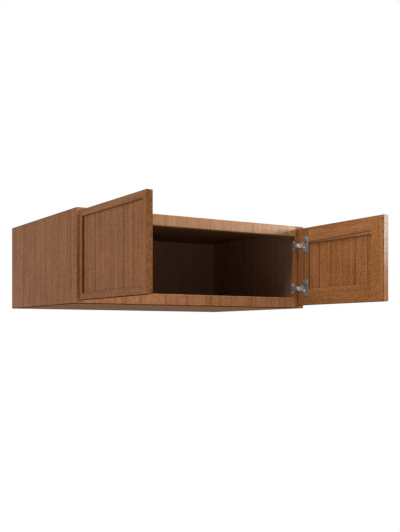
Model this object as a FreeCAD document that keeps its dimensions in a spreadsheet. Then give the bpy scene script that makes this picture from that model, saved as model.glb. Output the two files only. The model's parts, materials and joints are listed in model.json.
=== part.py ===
import FreeCAD, Part
import Sketcher
import os
import re

# Wall cabinet that hangs over a refrigerator, with both doors standing open square to its front.
# X runs to the right, Y towards the wall and Z up. The origin is on the wall plane, at the middle
# of the case's lower edge.

doc = FreeCAD.newDocument("over_fridge_cabinet")

sizes = {
    # case
    "case_width": 914.4,
    "case_height": 304.8,
    "case_depth": 609.6,
    "side_thickness": 12.7,
    "deck_thickness": 12.7,
    "housing_depth": 6.35,
    "back_thickness": 5.2,
    "hanging_rail_thickness": 12.7,
    "hanging_rail_height": 76.2,
    # holes for the wall screws
    "stud_spacing": 406.4,
    "wall_hole_radius": 2.6,
    # face frame
    "frame_thickness": 19.05,
    "frame_stile_width": 38.1,
    "frame_rail_width": 38.1,
    # dowels: at the frame's corners, frame to case, and hanging rails to sides
    "corner_dowel_radius": 4.0,
    "corner_dowel_length": 40.0,
    "corner_dowel_spacing": 18.0,
    "case_dowel_radius": 3.0,
    "case_dowel_length": 24.0,
    "side_dowel_spacing": 95.0,
    "deck_dowel_spacing": 280.0,
    "rail_dowel_length": 16.0,
    "rail_dowel_spacing": 44.0,
    "bore_clearance": 0.05,
    "bore_end_room": 0.5,
    # doors
    "side_reveal": 9.5,
    "end_reveal": 10.4,
    "door_gap": 6.0,
    "door_frame_gap": 3.2,
    "door_thickness": 20.6,
    "door_member_width": 58.5,
    "hinge_member_width": 64.0,
    "lip_width": 21.0,
    "lip_step": 6.0,
    "panel_thickness": 9.6,
    "arris_width": 1.2,
    "hinge_edge_easing": 2.4,
    "bumper_radius": 4.0,
    "bumper_height": 3.0,
    "bumper_inset": 9.0,
    # hinges, half in the door and half on the face frame
    "hinge_inset": 62.6,
    "pivot_setback": 9.5,
    "pivot_depth": 9.5,
    "cup_bore_depth": 12.8,
    "cup_edge": 3.5,
    "cup_clearance": 0.1,
    "cup_wall": 0.7,
    "swing_room": 0.6,
    "wing_thickness": 1.0,
    "wing_rim": 1.2,
    "wing_width": 28.0,
    "wing_height": 62.0,
    "wing_corner": 4.0,
    "lug_reach": 3.0,
    "lug_clearance": 0.3,
    "pin_radius": 1.2,
    "pin_clearance": 0.05,
    "knuckle_radius": 2.1,
    "arm_thickness": 2.0,
    "arm_height": 15.0,
    "tongue_height": 11.0,
    "arm_back_inset": 2.0,
    "plate_thickness": 1.5,
    "plate_height": 37.0,
    "plate_hook": 8.0,
    "plate_taper": 9.0,
    # hinge screws
    "screw_radius": 1.7,
    "screw_length": 13.0,
    "screw_point": 3.0,
    "screw_head_radius": 3.2,
    "screw_head_height": 1.4,
    "wing_screw_inset": 12.0,
    "wing_screw_spacing": 48.0,
    "plate_screw_spacing": 27.0,
    "adjuster_radius": 2.2,
    "adjuster_head_radius": 3.6,
}

sheet = doc.addObject("Spreadsheet::Sheet", "Sizes")
for row, (alias, size) in enumerate(sizes.items(), start=1):
    sheet.set(f"A{row}", alias)
    sheet.set(f"B{row}", str(size))
    sheet.setAlias(f"B{row}", alias)
doc.recompute()

# Sizes that follow from the driving ones
half_width = "(case_width / 2)"
side_inner = "(case_width / 2 - side_thickness)"
housed_half = "(case_width / 2 - side_thickness + housing_depth)"
case_front = "(-(case_depth - frame_thickness))"
back_front = "(-(hanging_rail_thickness + back_thickness))"
mid_height = "(case_height / 2)"
door_height = "(case_height - 2 * end_reveal)"
door_width = "((case_width - 2 * side_reveal - door_gap) / 2)"
ledge_thickness = "(door_thickness - lip_step - panel_thickness)"
hinge_level = "(case_height / 2 - end_reveal - hinge_inset)"
pivot_side = "(side_reveal + pivot_setback)"
pivot_front = "(door_frame_gap + pivot_depth)"
open_inset = "(side_reveal + pivot_setback + pivot_depth)"
open_stand_off = "(door_frame_gap + pivot_depth - pivot_setback)"
arm_outer = "(frame_stile_width + plate_thickness)"
arm_inner = "(frame_stile_width + plate_thickness + arm_thickness)"
tongue_front = "(door_frame_gap + pivot_depth + arm_thickness)"
# The boxed cup is just long and tall enough for the arm to fold into it
cup_room_end = f"({arm_inner} - side_reveal + swing_room)"
cup_bore_end = f"({cup_room_end} + cup_wall + cup_clearance)"
cup_room_half = "(arm_height / 2 + swing_room)"
cup_bore_half = f"({cup_room_half} + cup_wall + cup_clearance)"
cup_inner_depth = "(cup_bore_depth - cup_clearance - cup_wall)"
lug_inner = "(tongue_height / 2 + lug_clearance)"
wing_screw_setback = f"({cup_bore_end} + wing_screw_inset)"

axis_turns = {
    "x": FreeCAD.Rotation(FreeCAD.Vector(0, 1, 0), 90),
    "-x": FreeCAD.Rotation(FreeCAD.Vector(0, 1, 0), -90),
    "y": FreeCAD.Rotation(FreeCAD.Vector(1, 0, 0), -90),
    "z": FreeCAD.Rotation(),
}
half_turn = FreeCAD.Rotation(FreeCAD.Vector(0, 1, 0), 180)
subparts = []


def linked(text):
    """An expression with each size's name pointing at its cell."""
    return re.sub(r"[a-z_]+", lambda word: "Sizes." + word[0] if word[0] in sizes else word[0], text)


def bind(thing, **properties):
    """Ties properties of an object to expressions of the sizes."""
    for name, text in properties.items():
        thing.setExpression(name, linked(text))


def place(thing, x, y, z):
    """Ties an object's position to expressions of the sizes."""
    for name, text in zip("xyz", (x, y, z)):
        thing.setExpression("Placement.Base." + name, linked(text))


def named(thing, label):
    """Marks a finished sub-part with the name that its file takes."""
    thing.Label = label
    subparts.append(thing)
    return thing


def block(name, corner, size):
    """A rectangular block from its lowest corner and its size."""
    thing = doc.addObject("Part::Box", name)
    bind(thing, Length=size[0], Width=size[1], Height=size[2])
    place(thing, *corner)
    return thing


def rod(name, axis, start, radius, length):
    """A round bar or a hole's cutter that runs from a point along an axis."""
    thing = doc.addObject("Part::Cylinder", name)
    bind(thing, Radius=radius, Height=length)
    thing.Placement.Rotation = axis_turns[axis]
    place(thing, *start)
    return thing


def gather(name, things):
    """Several solids in one object, each still its own solid."""
    group = doc.addObject("Part::Compound", name)
    group.Links = things
    return group


def fuse(name, things):
    joined = doc.addObject("Part::MultiFuse", name)
    joined.Shapes = things
    return joined


def cut(name, base, cutters):
    result = doc.addObject("Part::Cut", name)
    result.Base = base
    result.Tool = gather(name + "_cutters", cutters)
    return result


def outline(body, plane, loops):
    """A sketch of closed loops on one of the body's own planes, each corner held by two expressions."""
    sketch = body.newObject("Sketcher::SketchObject", body.Name + "_outline")
    support = [feature for feature in body.Origin.OriginFeatures if feature.Role == plane]
    sketch.AttachmentSupport = [(support[0], "")]
    sketch.MapMode = "FlatFace"
    for corners in loops:
        points = [FreeCAD.Vector(*(sheet.evalExpression(linked(text)) for text in corner), 0)
                  for corner in corners]
        first = sketch.GeometryCount
        count = len(points)
        for step in range(count):
            sketch.addGeometry(Part.LineSegment(points[step], points[(step + 1) % count]))
        for step in range(count):
            following = first + (step + 1) % count
            sketch.addConstraint(Sketcher.Constraint("Coincident", first + step, 2, following, 1))
        for step, corner in enumerate(corners):
            for direction, axis, text in (("DistanceX", -2, corner[0]), ("DistanceY", -1, corner[1])):
                if text == "0":
                    sketch.addConstraint(Sketcher.Constraint("PointOnObject", first + step, 1, axis))
                    continue
                size = sheet.evalExpression(linked(text))
                index = sketch.addConstraint(Sketcher.Constraint(direction, -1, 1, first + step, 1, size))
                sketch.setExpression(f"Constraints[{index}]", linked(text))
    return sketch


def pad(body, plane, loops, length, midplane=False):
    """Adds an outline's thickness to a body, along the plane's normal or evenly about it."""
    feature = body.newObject("PartDesign::Pad", body.Name + "_pad")
    feature.Profile = outline(body, plane, loops)
    feature.SideType = "Symmetric" if midplane else "One side"
    bind(feature, Length=length)
    doc.recompute()
    return feature


def pocket_through(body, plane, loops):
    """Cuts an outline right through a body, both ways from its plane."""
    volume = body.Shape.Volume
    feature = body.newObject("PartDesign::Pocket", body.Name + "_pocket")
    feature.Profile = outline(body, plane, loops)
    feature.SideType = "Symmetric"
    feature.Type = "ThroughAll"
    doc.recompute()
    assert body.Shape.Volume < volume, body.Name + ": the pocket cut nothing"
    return feature


def new_body(name):
    return doc.addObject("PartDesign::Body", name)


def dowel_pair(name, axis, middle, radius, length):
    """A dowel centred on a joint, and the cutter for its two bores."""
    way = "xyz".index(axis)
    start = list(middle)
    start[way] = f"{middle[way]} - {length} / 2"
    bore_start = list(middle)
    bore_start[way] = f"{start[way]} - bore_end_room"
    dowel = rod(name, axis, start, radius, length)
    bore = rod(name + "_bore", axis, bore_start,
               f"{radius} + bore_clearance", f"{length} + 2 * bore_end_room")
    return dowel, bore


def screw(name, axis, seat, length):
    """A round-headed wood screw whose head sits on a seat and whose shank runs along an axis."""
    head = doc.addObject("Part::Cone", name + "_head")
    bind(head, Radius1="screw_head_radius / 2", Radius2="screw_head_radius", Height="screw_head_height")
    place(head, "0", "0", "-screw_head_height")
    shank = rod(name + "_shank", "z", ("0", "0", "0"), "screw_radius", f"{length} - screw_point")
    point = doc.addObject("Part::Cone", name + "_point")
    bind(point, Radius1="screw_radius", Radius2="screw_radius / 5", Height="screw_point")
    place(point, "0", "0", f"{length} - screw_point")
    whole = fuse(name, [head, shank, point])
    whole.Placement.Rotation = axis_turns[axis]
    place(whole, *seat)
    return whole


# Dowels and their bores, worked out first because two pieces share each of them
sides = {"left": "-1", "right": "1"}
ends = {"lower": "-1", "upper": "1"}
rail_centres = {"lower": "(frame_rail_width / 2)", "upper": "(case_height - frame_rail_width / 2)"}
deck_centres = {"lower": "(deck_thickness / 2)", "upper": "(case_height - deck_thickness / 2)"}
hanging_centres = {
    "lower": "(deck_thickness + hanging_rail_height / 2)",
    "upper": "(case_height - deck_thickness - hanging_rail_height / 2)",
}

corner_dowels = []
corner_bores = []
case_dowels = []
case_bores = []
rail_dowels = []
rail_bores = []
for side, sign in sides.items():
    for end in ends:
        for row in ("-1", "1"):
            dowel, bore = dowel_pair(
                f"corner_dowel_{side}_{end}{row}", "x",
                (f"{sign} * ({half_width} - frame_stile_width)", "-case_depth + frame_thickness / 2",
                 f"{rail_centres[end]} + {row} * corner_dowel_spacing / 2"),
                "corner_dowel_radius", "corner_dowel_length")
            corner_dowels.append(dowel)
            corner_bores.append(bore)
            dowel, bore = dowel_pair(
                f"rail_dowel_{side}_{end}{row}", "x",
                (f"{sign} * {side_inner}", "-hanging_rail_thickness / 2",
                 f"{hanging_centres[end]} + {row} * rail_dowel_spacing / 2"),
                "case_dowel_radius", "rail_dowel_length")
            rail_dowels.append(dowel)
            rail_bores.append(bore)
    for row in ("-1", "0", "1"):
        dowel, bore = dowel_pair(
            f"side_dowel_{side}{row}", "y",
            (f"{sign} * ({half_width} - side_thickness / 2)", case_front,
             f"{mid_height} + {row} * side_dowel_spacing"),
            "case_dowel_radius", "case_dowel_length")
        case_dowels.append(dowel)
        case_bores.append(bore)
for end in ends:
    for row in ("-1", "0", "1"):
        dowel, bore = dowel_pair(
            f"deck_dowel_{end}{row}", "y",
            (f"{row} * deck_dowel_spacing", case_front, deck_centres[end]),
            "case_dowel_radius", "case_dowel_length")
        case_dowels.append(dowel)
        case_bores.append(bore)

wall_holes = []
for side, sign in sides.items():
    for end in ends:
        wall_holes.append(rod(
            f"wall_hole_{side}_{end}", "y",
            (f"{sign} * stud_spacing / 2", f"{back_front} - bore_end_room", hanging_centres[end]),
            "wall_hole_radius", "hanging_rail_thickness + back_thickness + 2 * bore_end_room"))

# Case: sides, top and bottom panels housed in them, back panel in grooves all round, hanging rails
deck_levels = {"lower": "0", "upper": "(case_height - deck_thickness)"}
groove_levels = {
    "lower": "(deck_thickness - housing_depth)",
    "upper": "(case_height - deck_thickness)",
}
back_groove = (back_front, "back_thickness")
for side, sign in sides.items():
    face = f"({sign} * {half_width} - side_thickness / 2 - {sign} * side_thickness / 2)"
    housing = f"({sign} * {housed_half} - housing_depth / 2 - {sign} * housing_depth / 2)"
    board = block(f"{side}_side_board", (face, case_front, "0"),
                  ("side_thickness", "case_depth - frame_thickness", "case_height"))
    cutters = [block(f"{side}_back_groove", (housing, back_groove[0], "0"),
                     ("housing_depth", back_groove[1], "case_height"))]
    for end, level in deck_levels.items():
        cutters.append(block(f"{side}_{end}_housing", (housing, case_front, level),
                             ("housing_depth", "case_depth - frame_thickness", "deck_thickness")))
    named(cut(f"{side}_side", board, cutters + case_bores + rail_bores), f"{side}_side_panel")

for end, label in (("upper", "top_panel"), ("lower", "bottom_panel")):
    board = block(f"{end}_deck_board", (f"-{housed_half}", case_front, deck_levels[end]),
                  (f"2 * {housed_half}", "case_depth - frame_thickness", "deck_thickness"))
    groove = block(f"{end}_deck_groove", (f"-{housed_half}", back_groove[0], groove_levels[end]),
                   (f"2 * {housed_half}", back_groove[1], "housing_depth"))
    named(cut(f"{end}_deck", board, [groove] + case_bores), label)

back_board = block("back_board", (f"-{housed_half}", back_front, groove_levels["lower"]),
                   (f"2 * {housed_half}", "back_thickness",
                    "case_height - 2 * deck_thickness + 2 * housing_depth"))
named(cut("back", back_board, wall_holes), "back_panel")

for end in ends:
    bar = block(f"{end}_hanging_bar",
                (f"-{side_inner}", "-hanging_rail_thickness",
                 f"{hanging_centres[end]} - hanging_rail_height / 2"),
                (f"2 * {side_inner}", "hanging_rail_thickness", "hanging_rail_height"))
    named(cut(f"{end}_hanging", bar, wall_holes + rail_bores), f"{end}_hanging_rail")

# Face frame: two stiles with the rails dowelled between them
for side, sign in sides.items():
    bar = block(f"{side}_frame_bar",
                (f"{sign} * ({half_width} - frame_stile_width / 2) - frame_stile_width / 2",
                 "-case_depth", "0"),
                ("frame_stile_width", "frame_thickness", "case_height"))
    pilots = []
    for end, level in ends.items():
        for row in ("-1", "1"):
            pilots.append(rod(
                f"{side}_{end}_plate_pilot{row}", "-x" if side == "left" else "x",
                (f"{sign} * ({half_width} - frame_stile_width)", "-case_depth + frame_thickness / 2",
                 f"{mid_height} + {level} * {hinge_level} + {row} * plate_screw_spacing / 2"),
                "screw_radius + bore_clearance", "screw_length - plate_thickness + bore_end_room"))
    named(cut(f"{side}_stile", bar, corner_bores + case_bores + pilots), f"frame_{side}_stile")

for end, label in (("upper", "frame_top_rail"), ("lower", "frame_bottom_rail")):
    bar = block(f"{end}_frame_bar",
                (f"-({half_width} - frame_stile_width)", "-case_depth",
                 f"{rail_centres[end]} - frame_rail_width / 2"),
                ("case_width - 2 * frame_stile_width", "frame_thickness", "frame_rail_width"))
    named(cut(f"{end}_rail", bar, corner_bores + case_bores), label)

named(gather("corner_dowels", corner_dowels), "frame_corner_dowels")
named(gather("case_dowels", case_dowels), "frame_case_dowels")
named(gather("rail_dowels", rail_dowels), "hanging_rail_dowels")


# Doors. Each piece is drawn as on the left door, with x away from the door's inner face towards the
# cabinet's middle, y from the hinge edge back towards the case and z from mid-height. The right
# door's pieces are the same ones turned half round about Y.
def on_door(thing, side):
    thing.Placement.Rotation = half_turn if side == "right" else FreeCAD.Rotation()
    sign = sides[side]
    place(thing, f"{sign} * ({half_width} - {open_inset})",
          f"-(case_depth + {open_stand_off})", mid_height)
    return thing


def on_frame(thing, side, end):
    """Places a hinge's frame half, drawn from the stile's outer front corner at the hinge's height."""
    thing.Placement.Rotation = half_turn if side == "right" else FreeCAD.Rotation()
    place(thing, f"{sides[side]} * {half_width}", "-case_depth",
          f"{mid_height} + {ends[end]} * {hinge_level}")
    return thing


def member_section(edge, width, easing=False):
    """Section of a door stile or rail: raised lip in front, ledge for the panel, eased arris inside.
    edge turns a distance from the member's outer edge into the sketch's other coordinate."""
    section = [
        ("0", edge(f"({width} - arris_width)")),
        ("-arris_width", edge(width)),
        (f"-{ledge_thickness}", edge(width)),
        (f"-{ledge_thickness}", edge("lip_width")),
        ("-door_thickness", edge("lip_width")),
        ("-door_thickness", edge("0")),
    ]
    if easing:
        return section + [("-hinge_edge_easing", edge("0")), ("0", edge("hinge_edge_easing"))]
    return section + [("0", edge("0"))]


def cup_block(name, level, inset, depth, height):
    """A block in a hinge cup's mortise: inset from its walls, and from a depth in the door to a height
    above its inner face."""
    half = f"({cup_bore_half} - {inset})"
    return block(name, (f"-{depth}", f"-({cup_bore_end} - {inset})", f"{level} - {half}"),
                 (f"{depth} + {height}", f"{cup_bore_end} - cup_edge - 2 * {inset}", f"2 * {half}"))


def hinge_cutters(name):
    """Mortises for both hinge cups and pilot holes for their screws."""
    cutters = []
    for end, level in ends.items():
        cutters.append(cup_block(f"{name}_{end}_mortise", f"{level} * {hinge_level}", "0",
                                 "cup_bore_depth", "bore_end_room"))
        for row in ("-1", "1"):
            cutters.append(rod(f"{name}_{end}_pilot{row}", "-x",
                               ("0", f"-{wing_screw_setback}",
                                f"{level} * {hinge_level} + {row} * wing_screw_spacing / 2"),
                               "screw_radius + bore_clearance", "screw_length"))
    return cutters


def hinge_cup(name, end):
    """Boxed steel cup with its wing plate, and two lugs inside that carry the hinge pin."""
    level = f"{ends[end]} * {hinge_level}"
    outer = cup_block(f"{name}_outer", level, "cup_clearance", "(cup_bore_depth - cup_clearance)", "0")
    hollow = cup_block(f"{name}_hollow", level, "(cup_clearance + cup_wall)", cup_inner_depth,
                       "(wing_thickness + bore_end_room)")
    rim = cup_block(f"{name}_rim", level, "(cup_clearance - wing_rim)", "0", "wing_thickness")
    wing = new_body(f"{name}_wing")
    tip = "(wing_height / 2)"
    near = "(wing_height / 2 - wing_corner)"
    far = f"({cup_bore_end} + wing_width)"
    pad(wing, "YZ_Plane", [[
        (f"-{cup_bore_end}", tip), (f"-{cup_bore_end}", f"-{tip}"),
        (f"-({far} - wing_corner)", f"-{tip}"), (f"-{far}", f"-{near}"),
        (f"-{far}", near), (f"-({far} - wing_corner)", tip),
    ]], "wing_thickness")
    place(wing, "0", "0", level)
    screw_holes = []
    for row in ("-1", "1"):
        screw_holes.append(rod(f"{name}_screw_hole{row}", "x",
                               ("-bore_end_room", f"-{wing_screw_setback}",
                                f"{level} + {row} * wing_screw_spacing / 2"),
                               "screw_radius + bore_clearance", "wing_thickness + 2 * bore_end_room"))
    shell = cut(f"{name}_shell", fuse(f"{name}_pressing", [outer, rim, wing]), [hollow])
    bars = []
    for row, start in (("lower", f"-{cup_room_half}"), ("upper", lug_inner)):
        bars.append(block(f"{name}_{row}_lug",
                          (f"-{cup_inner_depth}", "-(pivot_setback + lug_reach)", f"{level} + {start}"),
                          (f"{cup_inner_depth} - pivot_depth + lug_reach",
                           "pivot_setback + lug_reach - cup_edge - cup_clearance - cup_wall",
                           f"{cup_room_half} - {lug_inner}")))
    pin_hole = rod(f"{name}_pin_hole", "z", ("-pivot_depth", "-pivot_setback", f"{level} - {cup_room_half}"),
                   "pin_radius + pin_clearance", f"2 * {cup_room_half}")
    return cut(name, fuse(f"{name}_blank", [shell] + bars), [pin_hole] + screw_holes)


for side in sides:
    stile = new_body(f"{side}_hinge_stile")
    pad(stile, "XY_Plane", [member_section(lambda size: "0" if size == "0" else f"-{size}",
                                           "hinge_member_width", easing=True)], door_height, midplane=True)
    stile = cut(f"{side}_hinge_stile_bored", stile, hinge_cutters(f"{side}_stile"))
    named(on_door(stile, side), f"{side}_door_hinge_stile")

    stile = new_body(f"{side}_free_stile")
    pad(stile, "XY_Plane", [member_section(lambda size: f"-({door_width} - {size})", "door_member_width")],
        door_height, midplane=True)
    named(on_door(stile, side), f"{side}_door_free_stile")

    for end, label in (("upper", "top_rail"), ("lower", "bottom_rail")):
        # The half turn swaps up and down on the right door
        up = "1" if (end == "upper") == (side == "left") else "-1"
        rail = new_body(f"{side}_{end}_door_rail")
        pad(rail, "XZ_Plane", [member_section(lambda size: f"{up} * ({door_height} / 2 - {size})",
                                              "door_member_width")], f"{door_width} - 2 * lip_width")
        scribe = [("0", "0"), ("0", "-(hinge_member_width - arris_width - lip_width)"),
                  ("-arris_width", "-(hinge_member_width - lip_width)"),
                  (f"-{ledge_thickness}", "-(hinge_member_width - lip_width)"), (f"-{ledge_thickness}", "0")]
        length = f"({door_width} - 2 * lip_width)"
        far_edge = f"({length} - door_member_width + lip_width)"
        far_scribe = [("0", f"-{length}"), ("0", f"-({far_edge} + arris_width)"),
                      ("-arris_width", f"-{far_edge}"), (f"-{ledge_thickness}", f"-{far_edge}"),
                      (f"-{ledge_thickness}", f"-{length}")]
        pocket_through(rail, "XY_Plane", [scribe, far_scribe])
        on_door(rail, side)
        place(rail, f"{sides[side]} * ({half_width} - {open_inset})",
              f"-(case_depth + {open_stand_off} + lip_width)", mid_height)
        named(rail, f"{side}_door_{label}")

    board = block(f"{side}_panel_board",
                  ("-(door_thickness - lip_step)", f"-({door_width} - lip_width)",
                   f"-({door_height} / 2 - lip_width)"),
                  ("panel_thickness", f"{door_width} - 2 * lip_width", f"{door_height} - 2 * lip_width"))
    panel = cut(f"{side}_panel", board, hinge_cutters(f"{side}_panel"))
    named(on_door(panel, side), f"{side}_door_panel")

    pads = []
    for end, level in ends.items():
        pads.append(rod(f"{side}_{end}_pad", "x",
                        ("0", f"-({door_width} - bumper_inset)",
                         f"{level} * ({door_height} / 2 - bumper_inset)"),
                        "bumper_radius", "bumper_height"))
    named(on_door(gather(f"{side}_bumpers", pads), side), f"{side}_door_bumpers")

    wing_screws = []
    plate_screws = []
    for end, level in ends.items():
        # The half turn swaps up and down on the right door
        drawn_end = end if side == "left" else {"upper": "lower", "lower": "upper"}[end]
        cup = hinge_cup(f"{side}_{end}_cup", drawn_end)
        named(on_door(cup, side), f"{side}_{end}_hinge_cup")
        pin = rod(f"{side}_{end}_pin", "z", ("0", "0", "0"), "pin_radius", f"2 * {cup_room_half}")
        place(pin, f"{sides[side]} * ({half_width} - {pivot_side})", f"-(case_depth + {pivot_front})",
              f"{mid_height} + {level} * {hinge_level} - {cup_room_half}")
        named(pin, f"{side}_{end}_hinge_pin")
        for row in ("-1", "1"):
            wing_screws.append(screw(f"{side}_{end}_wing_screw{row}", "-x",
                                     ("wing_thickness", f"-{wing_screw_setback}",
                                      f"{level} * {hinge_level} + {row} * wing_screw_spacing / 2"),
                                     "screw_length"))

        # Frame half: a plate hooked round the stile's inner edge, and an arm on it that reaches into the cup
        plate = new_body(f"{side}_{end}_plate_body")
        pad(plate, "XY_Plane", [[
            ("frame_stile_width", "0"), (arm_outer, "0"),
            (arm_outer, "frame_thickness + plate_thickness"),
            ("frame_stile_width - plate_hook", "frame_thickness + plate_thickness"),
            ("frame_stile_width - plate_hook", "frame_thickness"), ("frame_stile_width", "frame_thickness"),
        ]], "plate_height", midplane=True)
        corner = "(plate_height / 2)"
        pocket_through(plate, "YZ_Plane", [
            [("0", f"{row} * {corner}"), ("plate_taper", f"{row} * {corner}"),
             ("0", f"{row} * ({corner} - plate_taper)")] for row in ("-1", "1")])
        holes = []
        for row in ("-1", "0", "1"):
            radius = "adjuster_radius" if row == "0" else "screw_radius"
            holes.append(rod(f"{side}_{end}_plate_hole{row}", "x",
                             ("frame_stile_width - bore_end_room", "frame_thickness / 2",
                              f"{row} * plate_screw_spacing / 2"),
                             f"{radius} + bore_clearance", "plate_thickness + 2 * bore_end_room"))
        named(on_frame(cut(f"{side}_{end}_plate", plate, holes), side, end), f"{side}_{end}_hinge_plate")

        arm = new_body(f"{side}_{end}_arm_body")
        pad(arm, "XY_Plane", [[
            (arm_outer, "frame_thickness - arm_back_inset"), (arm_inner, "frame_thickness - arm_back_inset"),
            (arm_inner, f"-{tongue_front}"), (arm_outer, f"-{tongue_front}"),
        ]], "arm_height", midplane=True)
        pad(arm, "XY_Plane", [[
            (arm_outer, f"-{pivot_front}"), (pivot_side, f"-{pivot_front}"),
            (pivot_side, f"-{tongue_front}"), (arm_outer, f"-{tongue_front}"),
        ]], "tongue_height", midplane=True)
        knuckle = rod(f"{side}_{end}_knuckle", "z", (pivot_side, f"-{pivot_front}", "-tongue_height / 2"),
                      "knuckle_radius", "tongue_height")
        pivot_bore = rod(f"{side}_{end}_pivot_bore", "z", (pivot_side, f"-{pivot_front}", "-tongue_height"),
                         "pin_radius + pin_clearance", "2 * tongue_height")
        adjuster_bore = rod(f"{side}_{end}_adjuster_bore", "x",
                            (f"{arm_outer} - bore_end_room", "frame_thickness / 2", "0"),
                            "adjuster_radius + bore_clearance", "arm_thickness + 2 * bore_end_room")
        arm = cut(f"{side}_{end}_arm", fuse(f"{side}_{end}_arm_blank", [arm, knuckle]),
                  [pivot_bore, adjuster_bore])
        named(on_frame(arm, side, end), f"{side}_{end}_hinge_arm")

        for row in ("-1", "1"):
            plate_screws.append(on_frame(
                gather(f"{side}_{end}_plate_screw{row}",
                       [screw(f"{side}_{end}_plate_screw_blank{row}", "-x",
                              (arm_outer, "frame_thickness / 2", f"{row} * plate_screw_spacing / 2"),
                              "screw_length")]), side, end))
        adjuster = fuse(f"{side}_{end}_adjuster", [
            rod(f"{side}_{end}_adjuster_shank", "x", ("frame_stile_width", "frame_thickness / 2", "0"),
                "adjuster_radius", "plate_thickness + arm_thickness"),
            rod(f"{side}_{end}_adjuster_head", "x", (arm_inner, "frame_thickness / 2", "0"),
                "adjuster_head_radius", "screw_head_height"),
        ])
        plate_screws.append(on_frame(adjuster, side, end))
    named(on_door(gather(f"{side}_wing_screws", wing_screws), side), f"{side}_hinge_cup_screws")
    named(gather(f"{side}_plate_screws", plate_screws), f"{side}_hinge_plate_screws")

doc.recompute()
failed = [thing.Name for thing in doc.Objects if "Invalid" in thing.State or "Error" in thing.State]
failed += [part.Label for part in subparts if part.Shape.isNull() or not part.Shape.isValid()]
assert not failed, failed
os.makedirs("parts", exist_ok=True)
for part in subparts:
    part.Shape.exportStep(f"parts/{part.Label}.step")
    box = part.Shape.BoundBox
    print(f"{part.Label:28s} solids {len(part.Shape.Solids):2d}",
          f"volume {part.Shape.Volume / 1000:9.2f} cm3",
          f"x {box.XMin:8.2f} {box.XMax:8.2f}",
          f"y {box.YMin:9.2f} {box.YMax:9.2f}",
          f"z {box.ZMin:7.2f} {box.ZMax:7.2f}")
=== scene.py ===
import json
import math
import bmesh
import bpy
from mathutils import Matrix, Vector
from mathutils.bvhtree import BVHTree


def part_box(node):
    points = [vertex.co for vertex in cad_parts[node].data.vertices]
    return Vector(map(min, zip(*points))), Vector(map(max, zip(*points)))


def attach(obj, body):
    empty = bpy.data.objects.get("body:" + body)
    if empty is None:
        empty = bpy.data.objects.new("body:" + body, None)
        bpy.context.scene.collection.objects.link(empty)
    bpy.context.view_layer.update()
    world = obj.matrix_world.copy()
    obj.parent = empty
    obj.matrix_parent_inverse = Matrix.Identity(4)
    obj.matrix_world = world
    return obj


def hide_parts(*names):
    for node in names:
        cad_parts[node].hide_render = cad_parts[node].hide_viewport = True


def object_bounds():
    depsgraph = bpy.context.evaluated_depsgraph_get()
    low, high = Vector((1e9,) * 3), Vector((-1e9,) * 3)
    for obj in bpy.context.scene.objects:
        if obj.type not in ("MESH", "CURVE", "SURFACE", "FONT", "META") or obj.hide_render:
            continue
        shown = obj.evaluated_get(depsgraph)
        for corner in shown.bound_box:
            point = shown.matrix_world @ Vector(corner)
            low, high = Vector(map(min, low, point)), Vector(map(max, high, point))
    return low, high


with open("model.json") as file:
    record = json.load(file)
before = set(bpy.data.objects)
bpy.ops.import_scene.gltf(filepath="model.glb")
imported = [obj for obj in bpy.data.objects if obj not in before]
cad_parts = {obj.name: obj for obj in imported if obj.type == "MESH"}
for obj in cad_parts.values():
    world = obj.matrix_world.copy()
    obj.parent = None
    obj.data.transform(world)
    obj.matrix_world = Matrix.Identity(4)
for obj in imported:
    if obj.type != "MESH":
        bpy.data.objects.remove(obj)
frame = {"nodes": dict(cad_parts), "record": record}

cadBox = [list(corner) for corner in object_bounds()]
scene = bpy.context.scene
scene.view_settings.view_transform = "Standard"
record = frame["record"]
nodes = frame["nodes"]
bodyOf = {node: body for body, members in record["behaviour"]["bodies"].items() for node in members}
mm = 0.001
sides = ("left", "right")
levels = ("upper", "lower")


def hexColor(text):
    parts = [int(text[i:i + 2], 16) / 255 for i in (1, 3, 5)]  # sRGB to linear
    return [p / 12.92 if p <= 0.04045 else ((p + 0.055) / 1.055) ** 2.4 for p in parts] + [1.0]


def addNode(tree, kind, inputs=None, **settings):
    node = tree.nodes.new(kind)
    for key, value in settings.items():
        setattr(node, key, value)
    for key, value in (inputs or {}).items():
        if isinstance(value, bpy.types.NodeSocket):
            tree.links.new(value, node.inputs[key])
        else:
            node.inputs[key].default_value = value
    return node


def newMaterial(name, sockets):
    material = bpy.data.materials.new(name)
    material.use_nodes = True
    shader = material.node_tree.nodes["Principled BSDF"]
    for key, value in sockets.items():
        shader.inputs[key].default_value = value
    return material, material.node_tree, shader


# Camera, lamps and floor
studio = {
    "cameraPlace": (-1.494, -3.0036, -0.100),  # a little below the case and to its left
    "cameraYaw": -31.99,
    "lens": 55.33,
    "shiftUp": 0.1297,
    "floorDrop": 1.75,  # the case hangs this far above the floor
    "floorReach": 30,
    "floorTone": "#F4F3F1",
    "floorRough": 0.9,
    "floorShade": 0.02,  # share of the floor that still takes shadow
    "floorGlow": 1.013,  # brings the rest of it up to white
    "worldLight": 0.24,  # soft light from all round
    "lampAim": (0, -0.6, 0.15),
    "lamps": {  # place, width and height in metres, watts
        "keyBox": ((1.72, -2.07, 0.50), (0.6, 0.35), 36.5),  # low soft box, front right
        "leftBox": ((-10.5, -0.6, 7.8), (8.0, 7.0), 774),  # wide soft box, far to the left
        "topBox": ((0.1, -1.00, 1.90), (1.2, 0.8), 56.5),  # soft box above the doors
    },
}


def seenWhite(tree):  # 1 for rays from the camera, from a mirror or through glass
    path = addNode(tree, "ShaderNodeLightPath").outputs
    seen = path["Is Camera Ray"]
    for other in ("Is Glossy Ray", "Is Transmission Ray"):
        seen = addNode(tree, "ShaderNodeMath", {0: seen, 1: path[other]}, operation="MAXIMUM").outputs[0]
    return seen


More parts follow.
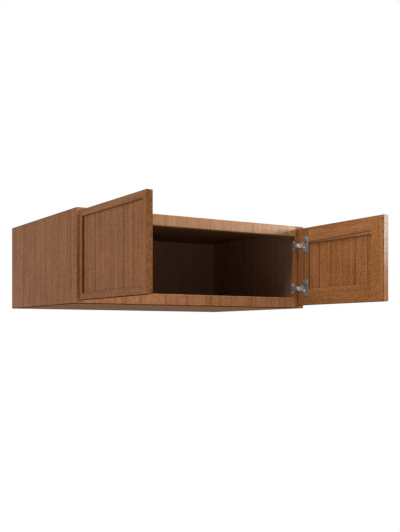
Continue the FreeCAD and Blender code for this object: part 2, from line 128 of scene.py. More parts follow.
def buildStudio(values):
    camera = bpy.data.objects.new("camera", bpy.data.cameras.new("camera"))
    camera.data.lens = values["lens"]
    camera.data.shift_y = values["shiftUp"]
    camera.location = values["cameraPlace"]
    camera.rotation_euler = (math.radians(90), 0, math.radians(values["cameraYaw"]))
    scene.collection.objects.link(camera)
    scene.camera = camera
    for name, (place, size, watts) in values["lamps"].items():
        lamp = bpy.data.lights.new(name, "AREA")
        lamp.shape = "RECTANGLE"
        lamp.size, lamp.size_y = size
        lamp.energy = watts
        holder = bpy.data.objects.new(name, lamp)
        holder.location = place
        aim = Vector(values["lampAim"]) - holder.location
        holder.rotation_euler = aim.to_track_quat("-Z", "Y").to_euler()
        scene.collection.objects.link(holder)

    scene.world = bpy.data.worlds.new("studio")
    scene.world.use_nodes = True
    tree = scene.world.node_tree
    level = addNode(tree, "ShaderNodeMapRange",
                    {"Value": seenWhite(tree), "To Min": values["worldLight"], "To Max": 1})
    tree.links.new(level.outputs[0], tree.nodes["Background"].inputs["Strength"])
    tree.nodes["Background"].inputs["Color"].default_value = (1, 1, 1, 1)

    # Matt painted floor: white to the eye, with a faint shadow under the case
    tone = hexColor(values["floorTone"])
    sockets = {"Base Color": tone, "Roughness": values["floorRough"]}
    material, tree, shader = newMaterial("matt_painted_floor", sockets)
    glow = addNode(tree, "ShaderNodeEmission", {"Color": (1, 1, 1, 1), "Strength": values["floorGlow"]})
    share = addNode(tree, "ShaderNodeMath", {0: seenWhite(tree), 1: 1 - values["floorShade"]},
                    operation="MULTIPLY")
    blend = addNode(tree, "ShaderNodeMixShader",
                    {0: share.outputs[0], 1: shader.outputs[0], 2: glow.outputs[0]})
    tree.links.new(blend.outputs[0], tree.nodes["Material Output"].inputs["Surface"])
    reach = values["floorReach"]
    square = ((-1, -1), (1, -1), (1, 1), (-1, 1))
    corners = [(x * reach, y * reach, -values["floorDrop"]) for x, y in square]
    mesh = bpy.data.meshes.new("floor")
    mesh.from_pydata(corners, [], [range(4)])
    mesh.materials.append(material)
    floor = bpy.data.objects.new("floor", mesh)
    scene.collection.objects.link(floor)
    print("studio built")


buildStudio(studio)

# Maple, rubbed with a brown stain and sprayed with satin lacquer: the stain gathers in the pores and
# in a few darker lines along the grain, and the lacquer gives a soft sheen
wood = {
    "deep": "#6B3F20",
    "middle": "#8A572F",
    "light": "#A06C40",
    "red": "#6E3B24",
    "dark": "#43281C",  # stain gathered in the pores
    "plum": "#5A3029",  # and in the lines
    "paintedHaze": "#8B857A",  # painted haze: grey mixed into the stain, for the sheen seen at a slant and the light bounced inside the case
    "warmHaze": "#99937F",  # a warmer painted haze, for the sheen on the top rail
    "warmLightTint": "#FFEFD8",  # tint of the sheen: painted warm colour of the light it reflects
    "coolLightTint": "#C3E1DD",  # tint of the sheen on the doors' free edges: painted cool colour of the light they reflect
    "figures": {  # width and length in mm, and noise detail; flecks and pores coarser than real, to show
        "bands": (14, 380, 4.0),
        "mottle": (70, 100, 2.0),
        "flecks": (3.6, 6, 3.0),
        "pores": (1.8, 18, 1.0),
        "drift": (90, 330, 1.0),
        "fade": (25, 170, 1.0),
    },
    "layers": (  # figure, where its tint starts and is full, most of the tint, tint
        ("bands", 0.50, 0.30, 0.75, "deep"),
        ("bands", 0.50, 0.70, 0.75, "light"),
        ("mottle", 0.38, 0.66, 0.40, "light"),
        ("flecks", 0.49, 0.69, 0.90, "red"),
        ("flecks", 0.50, 0.30, 0.85, "light"),
        ("pores", 0.56, 0.76, 0.60, "dark"),
        ("lines", 0.00, 1.00, 0.85, "plum"),
    ),
    "figureStep": 5.3,  # noise cells between one figure and the next, so that no two line up
    "lineWidth": 6.5,  # mm
    "lineSoft": (1.7, 0.3),  # half widths from its middle at which a line starts and is full
    "lineWander": 3.0,  # mm that a line strays on its way
    "lineBreaks": (0.30, 0.62),  # where in the fade figure a line starts to come back and is full
    "lineLeast": 0.6,  # share of a line that stays where it fades
    "roughness": 0.45,
    "poreRough": 0.25,  # added where the pores are open
    "relief": 0.4,  # mm
    "bump": 0.3,
}
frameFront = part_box("frame_top_rail")[0].y / mm
# Dark lines along the grain: mm from the face frame, across it or up it, and how strong each is
sideLines = [(frameFront + d, share) for d, share in (
    (50, 0.9), (107, 0.4), (154, 0.8), (211, 0.5), (266, 0.6), (317, 0.5), (371, 0.9), (426, 0.3),
    (483, 1.0))]
panelLines = [(frameFront - d, share) for d, share in (
    (48, 0.5), (110, 1.0), (145, 0.4), (178, 0.6), (206, 0.4), (233, 0.6), (266, 0.5), (299, 1.0),
    (359, 1.0))]
rightPanel = {"shift": -8, "share": 0.85}  # its lines lie nearer its free edge and are fainter
rightPanelLines = [(place + rightPanel["shift"], share * rightPanel["share"])
                   for place, share in panelLines]
stileLines = [(frameFront - 38, 0.6)]
frameLines = [(-380, 0.4), (-320, 0.3), (-285, 0.6), (-227, 0.8), (-134, 0.7), (-89, 0.4), (-50, 0.7),
              (-2, 0.5), (47, 0.8), (88, 0.3), (131, 0.7), (224, 0.8), (287, 0.5), (311, 0.4),
              (348, 0.6), (381, 0.6)]
railLines = [(226, 1.0)]


def stainLines(tree, place, figure, across, lines, slant):  # 1 on a dark line along the grain, else 0
    axes = addNode(tree, "ShaderNodeSeparateXYZ", {0: place}).outputs
    axis = addNode(tree, "ShaderNodeMath", {0: axes["Y"], 1: slant, 2: axes[across.upper()]},
                   operation="MULTIPLY_ADD").outputs[0]
    side = addNode(tree, "ShaderNodeMath", {0: figure["drift"], 1: wood["lineWander"] * mm, 2: axis},
                   operation="MULTIPLY_ADD").outputs[0]
    start, full = (wood["lineWidth"] * mm / 2 * share for share in wood["lineSoft"])
    mark = 0.0
    for position, strength in lines:
        offset = addNode(tree, "ShaderNodeMath", {0: side, 1: position * mm},
                         operation="SUBTRACT").outputs[0]
        away = addNode(tree, "ShaderNodeMath", {0: offset}, operation="ABSOLUTE").outputs[0]
        line = addNode(tree, "ShaderNodeMapRange",
                       {"Value": away, "From Min": start, "From Max": full, "To Max": strength},
                       interpolation_type="SMOOTHSTEP").outputs[0]
        mark = addNode(tree, "ShaderNodeMath", {0: mark, 1: line}, operation="MAXIMUM").outputs[0]
    low, high = wood["lineBreaks"]
    broken = addNode(tree, "ShaderNodeMapRange",
                     {"Value": figure["fade"], "From Min": low, "From Max": high,
                      "To Min": wood["lineLeast"]}).outputs[0]
    return addNode(tree, "ShaderNodeMath", {0: mark, 1: broken}, operation="MULTIPLY").outputs[0]


def woodMaterial(name, grain="z", across="y", lines=(), slant=0.0, tone=1.0, sheen=0.1,
                 rough=0.0, paintedHaze=0.0, hazeTint="paintedHaze", coat="warmLightTint", shift=0.0):
    sockets = {"Specular IOR Level": sheen, "Specular Tint": hexColor(wood[coat])}
    material, tree, shader = newMaterial(name, sockets)
    place = addNode(tree, "ShaderNodeTexCoord").outputs["Object"]
    figure = {}
    for number, (key, (width, run, detail)) in enumerate(wood["figures"].items()):
        scale = [1 / ((run if axis == grain else width) * mm) for axis in "xyz"]
        start = [shift + wood["figureStep"] * number] * 3
        space = addNode(tree, "ShaderNodeMapping", {"Vector": place, "Scale": scale, "Location": start})
        noise = addNode(tree, "ShaderNodeTexNoise",
                        {"Vector": space.outputs[0], "Scale": 1.0, "Detail": detail})
        figure[key] = noise.outputs["Fac"]
    if lines:
        figure["lines"] = stainLines(tree, place, figure, across, lines, slant)
    tints = {key: [c * tone for c in hexColor(wood[key])[:3]] + [1.0]
             for key in ("deep", "middle", "light", "red", "dark", "plum", hazeTint)}
    color = tints["middle"]
    amount = {}
    for key, low, high, most, tint in wood["layers"]:
        if key not in figure:
            continue
        amount[key] = addNode(tree, "ShaderNodeMapRange",
                              {"Value": figure[key], "From Min": low, "From Max": high, "To Max": most},
                              interpolation_type="SMOOTHSTEP").outputs[0]
        color = addNode(tree, "ShaderNodeMix", {0: amount[key], 6: color, 7: tints[tint]},
                        data_type="RGBA").outputs[2]
    # Painted haze: the stain is greyed towards the look of sheen and bounced light
    hazed = addNode(tree, "ShaderNodeMix", {0: paintedHaze, 6: color, 7: tints[hazeTint]}, data_type="RGBA")
    tree.links.new(hazed.outputs[2], shader.inputs["Base Color"])
    dull = addNode(tree, "ShaderNodeMath",
                   {0: amount["pores"], 1: wood["poreRough"], 2: rough or wood["roughness"]},
                   operation="MULTIPLY_ADD")
    tree.links.new(dull.outputs[0], shader.inputs["Roughness"])
    hollow = amount["pores"]
    if lines:
        hollow = addNode(tree, "ShaderNodeMath", {0: hollow, 1: amount["lines"]},
                         operation="ADD").outputs[0]
    bump = addNode(tree, "ShaderNodeBump",
                   {"Strength": wood["bump"], "Distance": wood["relief"] * mm, "Height": hollow},
                   invert=True)
    tree.links.new(bump.outputs[0], shader.inputs["Normal"])
    return material


# One stain, copied for each board: shift moves its figure, the painted haze greys it, and tone scales
# its colours, partly for boards that took the stain differently and partly as painted light and shade
# for the light each part gets
sideWood = woodMaterial("stained_maple_veneer", lines=sideLines, sheen=0.08, shift=1.7)
# Painted light and shade on the right door: free stile set lighter, panel a little darker, hinge stile
# darker still, as the light falls off towards the case
panelWood = {
    "left": woodMaterial("stained_maple_left_panel", lines=panelLines, tone=1.04, shift=6.7),
    "right": woodMaterial("stained_maple_right_panel", lines=rightPanelLines, tone=0.96, shift=7.8),
}
stileWood = {
    "left": woodMaterial("stained_maple_left_free_stile", shift=12.2),
    "right": woodMaterial("stained_maple_right_free_stile", tone=1.1, shift=12.2),
}
hingeWood = {
    "left": woodMaterial("stained_maple_left_hinge_stile", lines=stileLines, tone=0.96, shift=3.9),
    "right": woodMaterial("stained_maple_right_hinge_stile", lines=stileLines, tone=0.78, shift=10.2),
}
# Painted light and shade: the doors' top rails are set lighter and their bottom rails darker, for how
# the light falls on them
railWood = woodMaterial("stained_maple_rail", grain="y", across="z", lines=railLines, slant=0.023,
                        tone=1.08, paintedHaze=0.03, shift=5.1)
lowRailWood = woodMaterial("stained_maple_low_rail", grain="y", tone=0.95, shift=6.5)
# The face frame: the top rail's warm painted haze stands in for part of its sheen
topRailWood = woodMaterial("stained_maple_top_rail", across="x", lines=frameLines, tone=1.08, sheen=0.12,
                           rough=0.3, paintedHaze=0.18, hazeTint="warmHaze", shift=11.7)
# Painted light and shade: the left stile is set much lighter for front-left light the lamps don't give,
# the right stile darker for the open right door's shadow
frameStileWood = {
    "left": woodMaterial("stained_maple_left_frame_stile", tone=1.38, sheen=0.08, paintedHaze=0.12, shift=5.6),
    "right": woodMaterial("stained_maple_right_frame_stile", tone=0.92, sheen=0.08, shift=5.2),
}
# Painted light: the bottom rail is set lighter for front-left light the lamps don't give
sillWood = woodMaterial("stained_maple_bottom_rail", across="x", lines=frameLines, tone=1.28, sheen=0.1,
                        rough=0.3, paintedHaze=0.08, shift=11.9)
lippingWood = woodMaterial("stained_maple_door_edge", tone=1.08, sheen=0.12, rough=0.25,
                           coat="coolLightTint", shift=14.7)
# End grain soaks up more stain; this copy is also set much darker as painted shade, for end grain,
# undersides at the bottom and dark lines along edges
endGrainShadeWood = woodMaterial("stained_maple_end_grain_and_painted_shade", tone=0.25, sheen=0.0, shift=7.7)
# Painted shade: the step round each door's inner recess, set darker for the shade that falls there
recessShadeWood = woodMaterial("stained_maple_recess_painted_shade", tone=0.55, sheen=0.0, shift=7.2)
# Painted light inside the case: liner and back set lighter, deck a little darker, all greyed, for the
# light bounced about in there
linerWood = woodMaterial("stained_veneer_inside", lines=sideLines, tone=1.2, sheen=0.05, paintedHaze=0.38,
                         shift=2.1)
deckWood = woodMaterial("stained_veneer_deck", grain="x", tone=0.95, sheen=0.05, paintedHaze=0.22, shift=2.9)
backWood = woodMaterial("stained_veneer_back", across="x", lines=frameLines, tone=1.5, sheen=0.05,
                        paintedHaze=0.46, shift=8.2)
topWood = woodMaterial("stained_veneer_top", grain="x", across="y", lines=sideLines, sheen=0.0,
                       shift=9.9)
# The underside has no sheen; its painted haze stands in for the sheen seen at a slant
underWood = woodMaterial("stained_veneer_underside", grain="x", tone=0.96, sheen=0.0, paintedHaze=0.32,
                         shift=9.4)

# Birch plywood left bare where the case meets the wall: pale face, and edges that show the plies
plywood = {"face": "#C9A77A", "dark": "#A9855A", "ply": 2.1, "grainWidth": 9, "grainLength": 240}
# Beech dowels: pale pinkish, with short dark flecks
beech = {"face": "#D2AE86", "dark": "#B08A62", "grainWidth": 1.2, "grainLength": 9}
bare = {
    "roughness": 0.75,
    "sheen": 0.15,
    "detail": 4.0,
    "grain": (0.35, 0.68),  # where in the noise the wood is darkest and palest
    "plyEdge": 0.3,  # softness of the line between two plies
    "relief": 0.3,  # mm
    "bump": 0.2,
}


def bareWood(name, values, stack=None):
    sockets = {"Roughness": bare["roughness"], "Specular IOR Level": bare["sheen"]}
    material, tree, shader = newMaterial(name, sockets)
    place = addNode(tree, "ShaderNodeTexCoord").outputs["Object"]
    scale = [1 / (values[size] * mm) for size in ("grainLength", "grainWidth", "grainWidth")]
    space = addNode(tree, "ShaderNodeMapping", {"Vector": place, "Scale": scale}).outputs[0]
    noise = addNode(tree, "ShaderNodeTexNoise",
                    {"Vector": space, "Scale": 1.0, "Detail": bare["detail"]})
    grain = noise.outputs["Fac"]
    low, high = bare["grain"]
    share = addNode(tree, "ShaderNodeMapRange",
                    {"Value": grain, "From Min": low, "From Max": high}).outputs[0]
    if stack:  # plies stacked along one axis
        axis = addNode(tree, "ShaderNodeSeparateXYZ", {0: place}).outputs["xyz".index(stack)]
        turn = addNode(tree, "ShaderNodeMath", {0: axis, 1: math.pi / (values["ply"] * mm)},
                       operation="MULTIPLY")
        wave = addNode(tree, "ShaderNodeMath", {0: turn.outputs[0]}, operation="SINE").outputs[0]
        share = addNode(tree, "ShaderNodeMapRange",
                        {"Value": wave, "From Min": -bare["plyEdge"],
                         "From Max": bare["plyEdge"]}).outputs[0]
    ends = [hexColor(values[key]) for key in ("dark", "face")]
    color = addNode(tree, "ShaderNodeMix", {0: share, 6: ends[0], 7: ends[1]}, data_type="RGBA")
    tree.links.new(color.outputs[2], shader.inputs["Base Color"])
    bump = addNode(tree, "ShaderNodeBump",
                   {"Strength": bare["bump"], "Distance": bare["relief"] * mm, "Height": grain})
    tree.links.new(bump.outputs[0], shader.inputs["Normal"])
    return material


rawPly = bareWood("bare_birch_plywood", plywood)
plyEdgeX = bareWood("bare_plywood_edge_upright", plywood, "x")
plyEdgeY = bareWood("bare_plywood_edge_back", plywood, "y")
plyEdgeZ = bareWood("bare_plywood_edge_level", plywood, "z")
beechWood = bareWood("bare_beech", beech)

# Steel: pressed plates under dull zinc, whose spangle mottles them and whose dull skin scatters some
# light, and cast arms
# under nickel, set pale and mostly matt: partly the plating, partly a painted highlight where arms, cups
# and rivets gleam
zinc = {"light": "#9B9995", "dark": "#454442", "spangle": 5.0, "metallic": 0.5, "roughness": 0.48}
# Painted light: the same zinc set lighter on the frame plates, which the lamps leave in shade
litZinc = {"light": "#D2CFC9", "dark": "#5E5C58", "spangle": 6.0, "metallic": 0.3, "roughness": 0.45}
nickelAndHighlight = {"light": "#EDE9E3", "dark": "#C9C3BB", "spangle": 3.4, "metallic": 0.3, "roughness": 0.28}
# Blued steel: the cam that trims each hinge, near black with a dull shine, and also painted shade: the
# dark of a recess in the plate
bluedShade = {"light": "#3C3A3A", "dark": "#1E1D1E", "spangle": 2.0, "metallic": 0.5, "roughness": 0.4}
plating = {
    "cloud": 2,  # spangles across one cloud
    "cloudDetail": 2.0,
    "cloudShare": 0.5,
    "smoother": 0.08,  # how far the roughness strays each way
    "rougher": 0.12,
}


def steelMaterial(name, values):
    material, tree, shader = newMaterial(name, {"Metallic": values["metallic"]})
    place = addNode(tree, "ShaderNodeTexCoord").outputs["Object"]
    fine = 1 / (values["spangle"] * mm)
    cells = addNode(tree, "ShaderNodeTexVoronoi", {"Vector": place, "Scale": fine}).outputs["Color"]
    cloud = addNode(tree, "ShaderNodeTexNoise",
                    {"Vector": place, "Scale": fine / plating["cloud"],
                     "Detail": plating["cloudDetail"]})
    share = addNode(tree, "ShaderNodeMix",
                    {0: plating["cloudShare"], 2: cells, 3: cloud.outputs["Fac"]}).outputs[0]
    ends = [hexColor(values[key]) for key in ("dark", "light")]
    color = addNode(tree, "ShaderNodeMix", {0: share, 6: ends[0], 7: ends[1]}, data_type="RGBA")
    tree.links.new(color.outputs[2], shader.inputs["Base Color"])
    rough = addNode(tree, "ShaderNodeMapRange",
                    {"Value": share, "To Min": values["roughness"] - plating["smoother"],
                     "To Max": values["roughness"] + plating["rougher"]})
    tree.links.new(rough.outputs[0], shader.inputs["Roughness"])
    return material


zincSteel = steelMaterial("zinc_plated_steel", zinc)
litZincSteel = steelMaterial("zinc_plated_steel_painted_lighter", litZinc)
bluedShadeSteel = steelMaterial("blued_steel_and_painted_shade", bluedShade)
nickelAndHighlightSteel = steelMaterial("nickel_plated_steel_and_painted_highlight", nickelAndHighlight)

# Clear polyurethane, cast: the wood's brown comes through a slightly cloudy skin
bumper = {
    "tint": "#94623C",
    "clear": 0.2,
    "ior": 1.48,
    "sheen": 0.15,
    "roughness": (0.25, 0.45),
    "cloud": 1.5,  # mm
    "rise": 0.9,  # share of the modelled thickness
}


def clearMaterial(name, values):
    sockets = {"Base Color": hexColor(values["tint"]), "Transmission Weight": values["clear"],
               "IOR": values["ior"], "Specular IOR Level": values["sheen"]}
    material, tree, shader = newMaterial(name, sockets)
    place = addNode(tree, "ShaderNodeTexCoord").outputs["Object"]
    cloud = addNode(tree, "ShaderNodeTexNoise", {"Vector": place, "Scale": 1 / (values["cloud"] * mm)})
    low, high = values["roughness"]
    rough = addNode(tree, "ShaderNodeMapRange",
                    {"Value": cloud.outputs["Fac"], "To Min": low, "To Max": high})
    tree.links.new(rough.outputs[0], shader.inputs["Roughness"])
    return material


clearRubber = clearMaterial("clear_polyurethane", bumper)
print("materials mixed")

# Timber with eased edges
timber = {"ease": 2.0, "segments": 2, "shortest": 6.0, "sharp": 30}  # mm and degrees
mending = {"weld": 0.002, "flat": 0.3, "sliver": 0.005}  # mm, degrees and mm
probe = {"inward": 2.0, "outward": 0.2, "reach": 1.0}  # mm from an edge, off its face and to a neighbour
trees = {}
for name, node in nodes.items():
    corners = [v.co for v in node.data.vertices]
    trees[name] = BVHTree.FromPolygons(corners, [p.vertices for p in node.data.polygons])


def touches(name, point):  # whether a point just off a face lies inside another piece
    for other, tree in trees.items():
        if other != name:
            spot, normal = tree.find_nearest(point, probe["reach"] * mm)[:2]
            if spot is not None and (point - spot).dot(normal) < 0:
                return True
    return False


def mergedCopy(name):
    mesh = bmesh.new()
    mesh.from_mesh(nodes[name].data)
    bmesh.ops.remove_doubles(mesh, verts=mesh.verts, dist=mending["weld"] * mm)
    flat = math.radians(mending["flat"])
    bmesh.ops.dissolve_limit(mesh, angle_limit=flat, verts=mesh.verts, edges=mesh.edges)
    return mesh


def openEdges(mesh, name, values):  # sharp edges with nothing against either face
    found = []
    for edge in mesh.edges:
        if len(edge.link_faces) != 2 or edge.calc_length() < values["shortest"] * mm:
            continue
        if edge.calc_face_angle() < math.radians(values["sharp"]):
            continue
        middle = (edge.verts[0].co + edge.verts[1].co) / 2
        along = (edge.verts[1].co - edge.verts[0].co).normalized()
        free = True
        for loop in edge.link_loops:
            inward = loop.face.normal.cross(along)
            if loop.vert == edge.verts[1]:
                inward.negate()
            offset = inward * probe["inward"] + loop.face.normal * probe["outward"]
            point = middle + offset * mm
            free = free and not touches(name, point)
        if free:
            found.append(edge)
    return found


def easeEdges(mesh, edges, values, material=-1):
    bmesh.ops.bevel(mesh, geom=edges, offset=values["ease"] * mm, offset_type="OFFSET", affect="EDGES",
                    segments=values["segments"], profile=0.5,  # 0.5 is round
                    clamp_overlap=True, material=material)


def meshData(mesh, name, materials):
    data = bpy.data.meshes.new(name)
    mesh.to_mesh(data)
    mesh.free()
    for material in materials:
        data.materials.append(material)
    return data


def placePiece(data, name, replaced):
    piece = bpy.data.objects.new(name, data)
    scene.collection.objects.link(piece)
    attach(piece, bodyOf[replaced[0]])
    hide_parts(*replaced)


def easedTimber(name, chooser):
    mesh = mergedCopy(name)
    materials = [endGrainShadeWood, lippingWood]
    for face in mesh.faces:
        material = chooser(face.normal, face.calc_center_median())
        if material not in materials:
            materials.append(material)
        face.material_index = materials.index(material)
    # End grain, its eased edges and the inner corner of each door's free edge take the dark end-grain
    # colour: stain soaked into end grain, and painted shade along those edges
    middle = sum(corner.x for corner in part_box(name)) / 2
    found = openEdges(mesh, name, timber)
    dark = []
    for edge in found:
        kinds = [materials[face.material_index] for face in edge.link_faces]
        inner = abs(edge.verts[0].co.x) < abs(middle)
        if endGrainShadeWood in kinds or (lippingWood in kinds and inner):
            dark.append(edge)
    easeEdges(mesh, dark, timber, materials.index(endGrainShadeWood))
    easeEdges(mesh, [edge for edge in found if edge.is_valid and edge not in dark], timber)
    bmesh.ops.dissolve_degenerate(mesh, edges=mesh.edges, dist=mending["sliver"] * mm)
    placePiece(meshData(mesh, "eased_" + name, materials), "eased_" + name, [name])


# Which wood a face shows: by the way it faces, and by whether it lies on the outside of the cabinet
facing = 0.7  # least share of a normal along an axis
near = 1 * mm
underside = cadBox[0][2] + near
topside = cadBox[1][2] - near
flank = cadBox[1][0] - near
doorEnd = cadBox[0][1] + near


def sideFaces(normal, centre):
    if abs(normal.y) > facing:
        return plyEdgeX if normal.y > 0 else endGrainShadeWood
    if abs(normal.z) > facing:
        return endGrainShadeWood
    return sideWood if normal.x * centre.x > 0 else linerWood


def deckFaces(normal, centre):
    if abs(normal.z) < facing:
        return plyEdgeZ
    if centre.z > topside:
        return topWood
    return underWood if centre.z < underside else deckWood


def backFaces(normal, centre):
    return backWood if normal.y < 0 else rawPly


def hangingFaces(normal, centre):
    if normal.z < -facing and centre.z < underside:
        return endGrainShadeWood
    return rawPly if abs(normal.y) > facing else plyEdgeY


def frameFaces(body):
    def choose(normal, centre):
        if abs(centre.x) > flank:
            return sideWood
        if centre.z > topside:
            return topWood
        return endGrainShadeWood if normal.z < -facing and centre.z < underside else body
    return choose


def doorFaces(body):
    low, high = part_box("right_door_free_stile")  # as high and as thick as either door
    middle = (low.x + high.x) / 2

    def choose(normal, centre):
        if abs(normal.z) > facing:
            return body if low.z + near < centre.z < high.z - near else endGrainShadeWood
        if abs(normal.y) > facing:
            if centre.y < doorEnd:
                return lippingWood
            # the step of the inner recess takes the painted shade
            return recessShadeWood if normal.y < 0 and abs(centre.x) < middle else stileWood["left"]
        return body
    return choose


for side in sides:
    easedTimber(f"{side}_side_panel", sideFaces)
    easedTimber(f"frame_{side}_stile", frameFaces(frameStileWood[side]))
    easedTimber(f"{side}_door_hinge_stile", doorFaces(hingeWood[side]))
    easedTimber(f"{side}_door_free_stile", doorFaces(stileWood[side]))
    easedTimber(f"{side}_door_top_rail", doorFaces(railWood))
    easedTimber(f"{side}_door_bottom_rail", doorFaces(lowRailWood))
for end in ("top", "bottom"):
    easedTimber(f"{end}_panel", deckFaces)
    easedTimber(f"frame_{end}_rail", frameFaces(sillWood if end == "bottom" else topRailWood))
easedTimber("back_panel", backFaces)
for level in levels:
    easedTimber(f"{level}_hanging_rail", hangingFaces)
print("timber eased")

# Pieces whose modelled shape is already right only take a finish
finishes = {f"{side}_door_panel": panelWood[side] for side in sides}
finishes.update({f"{side}_{level}_hinge_pin": nickelAndHighlightSteel for side in sides for level in levels})
dowelled = ("frame_corner", "frame_case", "hanging_rail")
finishes.update({f"{place}_dowels": beechWood for place in dowelled})
for name, material in finishes.items():
    nodes[name].data.materials.clear()
    nodes[name].data.materials.append(material)

# Hinges: edges broken, round walls shaded smooth, a rivet and a trimming cam on each door plate
hinge = {
    "ease": 0.35, "segments": 2, "shortest": 2.0, "sharp": 30,  # mm and degrees
    "wingWidth": 28.0,
    "rivetRadius": 3.2, "rivetRise": 1.8, "rivetLift": -10.7, "rivetInset": 4.7,
    "camRadius": 4.4, "camRise": 0.8, "camLift": 11.0, "camInset": 14.0,
    "boxSetback": 0.5,  # behind the plate's face
    "crossing": 5.0,  # from the face frame to where an arm takes the painted highlight
}
dome = ((1, 0), (1, 0.35), (0.93, 0.60), (0.75, 0.84), (0.42, 0.97))  # shares of the radius and the rise
ringSteps = 24


def addDome(mesh, centre, aim, radius, rise, material):
    turn = aim.to_track_quat("Z", "Y").to_matrix()
    rings = []
    for reach, height in dome:
        points = [Vector((math.cos(a) * reach * radius, math.sin(a) * reach * radius, height * rise))
                  for a in (math.tau * i / ringSteps for i in range(ringSteps))]
        rings.append([mesh.verts.new(centre + turn @ p) for p in points])
    tip = mesh.verts.new(centre + aim * rise)
    faces = [mesh.faces.new(list(reversed(rings[0])))]
    for i in range(ringSteps):
        j = (i + 1) % ringSteps
        for low, high in zip(rings, rings[1:]):
            faces.append(mesh.faces.new((low[i], low[j], high[j], high[i])))
        faces.append(mesh.faces.new((rings[-1][i], rings[-1][j], tip)))
    for face in faces:
        face.material_index = material
        face.smooth = True


def smoothRounds(mesh, values):
    for face in mesh.faces:
        face.smooth = True
    for edge in mesh.edges:
        if len(edge.link_faces) == 2:
            edge.smooth = edge.calc_face_angle() < math.radians(values["sharp"])


def doorPlate(name):
    low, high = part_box(name)
    aim = Vector((-1 if low.x > 0 else 1, 0, 0))  # towards the middle of the case
    faceX = low.x if low.x > 0 else high.x
    mesh = mergedCopy(name)
    boxFront = faceX - hinge["boxSetback"] * mm * aim.x
    for face in mesh.faces:  # the box behind the plate takes the pale nickel: a painted highlight where the cup gleams
        face.material_index = 1 if (face.calc_center_median().x - boxFront) * aim.x < 0 else 0
    easeEdges(mesh, openEdges(mesh, name, hinge), hinge)
    smoothRounds(mesh, hinge)
    for part, material in (("rivet", 1), ("cam", 2)):
        centre = Vector((faceX, low.y + (hinge["wingWidth"] - hinge[part + "Inset"]) * mm,
                         (low.z + high.z) / 2 + hinge[part + "Lift"] * mm))
        addDome(mesh, centre, aim, hinge[part + "Radius"] * mm, hinge[part + "Rise"] * mm, material)
    data = meshData(mesh, "dressed_" + name, [zincSteel, nickelAndHighlightSteel, bluedShadeSteel])
    placePiece(data, "dressed_" + name, [name])


def framePart(name, base):  # where an arm crosses to the door it takes the pale nickel: a painted highlight where it gleams
    mesh = mergedCopy(name)
    front = (frameFront - hinge["crossing"]) * mm
    for face in mesh.faces:
        face.material_index = 1 if face.calc_center_median().y < front else 0
    easeEdges(mesh, openEdges(mesh, name, hinge), hinge)
    smoothRounds(mesh, hinge)
    placePiece(meshData(mesh, "dressed_" + name, [base, nickelAndHighlightSteel]), "dressed_" + name, [name])


for side in sides:
    for level in levels:
        doorPlate(f"{side}_{level}_hinge_cup")
        framePart(f"{side}_{level}_hinge_plate", litZincSteel)
        framePart(f"{side}_{level}_hinge_arm", zincSteel)
print("hinges dressed")

# Screws with a cross recess: one node tree sets a head and a shank on every seat
screws = {  # widths are shares of the head's radius, and the recess's depth of its height
    "Head Height": 1.4 * mm,
    "Head Taper": 0.62,
    "Shank Share": 0.52,
    "Shank Point": 0.6,  # share of the shank's radius
    "Cross Width": 0.26,
    "Cross Length": 1.1,
    "Cross Depth": 0.55,
    "Finish": zincSteel,
}
shankSteps = 16


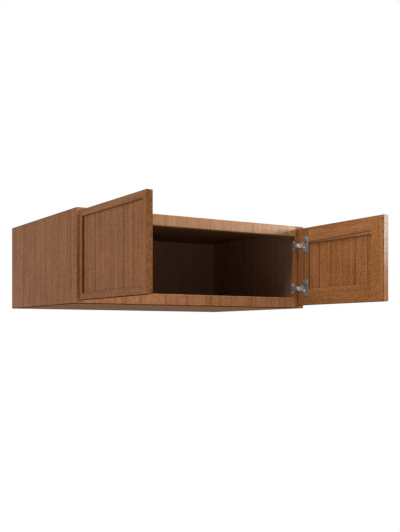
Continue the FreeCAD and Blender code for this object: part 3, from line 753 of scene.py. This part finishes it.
def screwTree():
    tree = bpy.data.node_groups.new("cross_recess_screws", "GeometryNodeTree")
    tree.interface.new_socket("Seats", in_out="INPUT", socket_type="NodeSocketGeometry")
    for name, value in screws.items():
        kind = "NodeSocketFloat" if isinstance(value, float) else "NodeSocketMaterial"
        tree.interface.new_socket(name, in_out="INPUT", socket_type=kind)
    tree.interface.new_socket("Screws", in_out="OUTPUT", socket_type="NodeSocketGeometry")
    given = addNode(tree, "NodeGroupInput").outputs
    seat = {}
    for key, kind in (("aim", "FLOAT_VECTOR"), ("radius", "FLOAT"), ("length", "FLOAT")):
        named = addNode(tree, "GeometryNodeInputNamedAttribute", {"Name": key}, data_type=kind)
        seat[key] = named.outputs["Attribute"]
    turn = addNode(tree, "FunctionNodeAlignRotationToVector", {"Vector": seat["aim"]}, axis="Z")

    # Head of radius and height 1, with two crossed slots cut from its top by blades half sunk in it
    head = addNode(tree, "GeometryNodeMeshCone",
                   {"Vertices": ringSteps, "Radius Top": given["Head Taper"], "Radius Bottom": 1.0,
                    "Depth": 1.0}).outputs["Mesh"]
    tall = addNode(tree, "ShaderNodeMath", {0: given["Cross Depth"], 1: 2.0}, operation="MULTIPLY")
    bar = addNode(tree, "ShaderNodeCombineXYZ",
                  {0: given["Cross Length"], 1: given["Cross Width"], 2: tall.outputs[0]})
    blade = addNode(tree, "GeometryNodeMeshCube", {"Size": bar.outputs[0]}).outputs["Mesh"]
    cut = addNode(tree, "GeometryNodeMeshBoolean", {"Mesh 1": head},
                  operation="DIFFERENCE", solver="EXACT")
    for angle in (0, math.pi / 2):
        placed = addNode(tree, "GeometryNodeTransform",
                         {"Geometry": blade, "Translation": (0, 0, 1), "Rotation": (0, 0, angle)})
        tree.links.new(placed.outputs[0], cut.inputs["Mesh 2"])
    wide = addNode(tree, "ShaderNodeCombineXYZ",
                   {0: seat["radius"], 1: seat["radius"], 2: given["Head Height"]})

    # Shank of radius and length 1, below the head
    cone = addNode(tree, "GeometryNodeMeshCone",
                   {"Vertices": shankSteps, "Radius Top": 1.0, "Radius Bottom": given["Shank Point"],
                    "Depth": 1.0}).outputs["Mesh"]
    shank = addNode(tree, "GeometryNodeTransform", {"Geometry": cone, "Translation": (0, 0, -1)})
    thin = addNode(tree, "ShaderNodeMath", {0: seat["radius"], 1: given["Shank Share"]},
                   operation="MULTIPLY").outputs[0]
    slim = addNode(tree, "ShaderNodeCombineXYZ", {0: thin, 1: thin, 2: seat["length"]})

    joined = addNode(tree, "GeometryNodeJoinGeometry")
    for shape, size in ((cut.outputs["Mesh"], wide), (shank.outputs[0], slim)):
        copies = addNode(tree, "GeometryNodeInstanceOnPoints",
                         {"Points": given["Seats"], "Instance": shape, "Rotation": turn.outputs[0],
                          "Scale": size.outputs[0]})
        tree.links.new(copies.outputs[0], joined.inputs[0])
    solid = addNode(tree, "GeometryNodeRealizeInstances", {"Geometry": joined.outputs[0]})
    faced = addNode(tree, "GeometryNodeSetMaterial",
                    {"Geometry": solid.outputs[0], "Material": given["Finish"]})
    addNode(tree, "NodeGroupOutput", {0: faced.outputs[0]})
    return tree


def islands(name):  # lowest and highest corner of each separate solid in a node
    mesh = mergedCopy(name)
    seen = set()
    boxes = []
    for start in mesh.verts:
        if start in seen:
            continue
        seen.add(start)
        reached = [start]
        for vert in reached:
            for edge in vert.link_edges:
                other = edge.other_vert(vert)
                if other not in seen:
                    seen.add(other)
                    reached.append(other)
        boxes.append([Vector([pick(v.co[i] for v in reached) for i in range(3)]) for pick in (min, max)])
    mesh.free()
    return boxes


def setScrews(name, tree, members):
    places, aims, radii, lengths = [], [], [], []
    for low, high in (box for member in members for box in islands(member)):
        inward = -1 if low.x > 0 else 1  # heads face the middle of the case
        top = low.x if low.x > 0 else high.x
        places.append((top - inward * screws["Head Height"], (low.y + high.y) / 2, (low.z + high.z) / 2))
        aims.extend((inward, 0, 0))
        radii.append((high.y - low.y) / 2)
        lengths.append(high.x - low.x - screws["Head Height"])
    seats = bpy.data.meshes.new(name)
    seats.from_pydata(places, [], [])
    seats.attributes.new("aim", "FLOAT_VECTOR", "POINT").data.foreach_set("vector", aims)
    seats.attributes.new("radius", "FLOAT", "POINT").data.foreach_set("value", radii)
    seats.attributes.new("length", "FLOAT", "POINT").data.foreach_set("value", lengths)
    holder = bpy.data.objects.new(name + "_seats", seats)
    scene.collection.objects.link(holder)
    modifier = holder.modifiers.new("screws", "NODES")
    modifier.node_group = tree
    for item in tree.interface.items_tree:
        if item.in_out == "INPUT" and item.name in screws:
            modifier[item.identifier] = screws[item.name]
    depsgraph = bpy.context.evaluated_depsgraph_get()
    data = bpy.data.meshes.new_from_object(holder.evaluated_get(depsgraph))
    bpy.data.objects.remove(holder)
    data.name = name
    placePiece(data, name, members)


tree = screwTree()
for side in sides:
    setScrews(f"{side}_door_screws", tree, [f"{side}_hinge_cup_screws"])
setScrews("case_screws", tree, [f"{side}_hinge_plate_screws" for side in sides])
print("screws set")

# Bumpers: low clear domes stuck on the doors' inner faces
for side in sides:
    mesh = bmesh.new()
    inward = Vector((1 if side == "left" else -1, 0, 0))
    for low, high in islands(f"{side}_door_bumpers"):
        centre = (low + high) / 2
        centre.x = low.x if side == "left" else high.x
        addDome(mesh, centre, inward, (high.y - low.y) / 2, (high.x - low.x) * bumper["rise"], 0)
    data = meshData(mesh, f"{side}_door_domes", [clearRubber])
    placePiece(data, f"{side}_door_domes", [f"{side}_door_bumpers"])
print("bumpers stuck on")
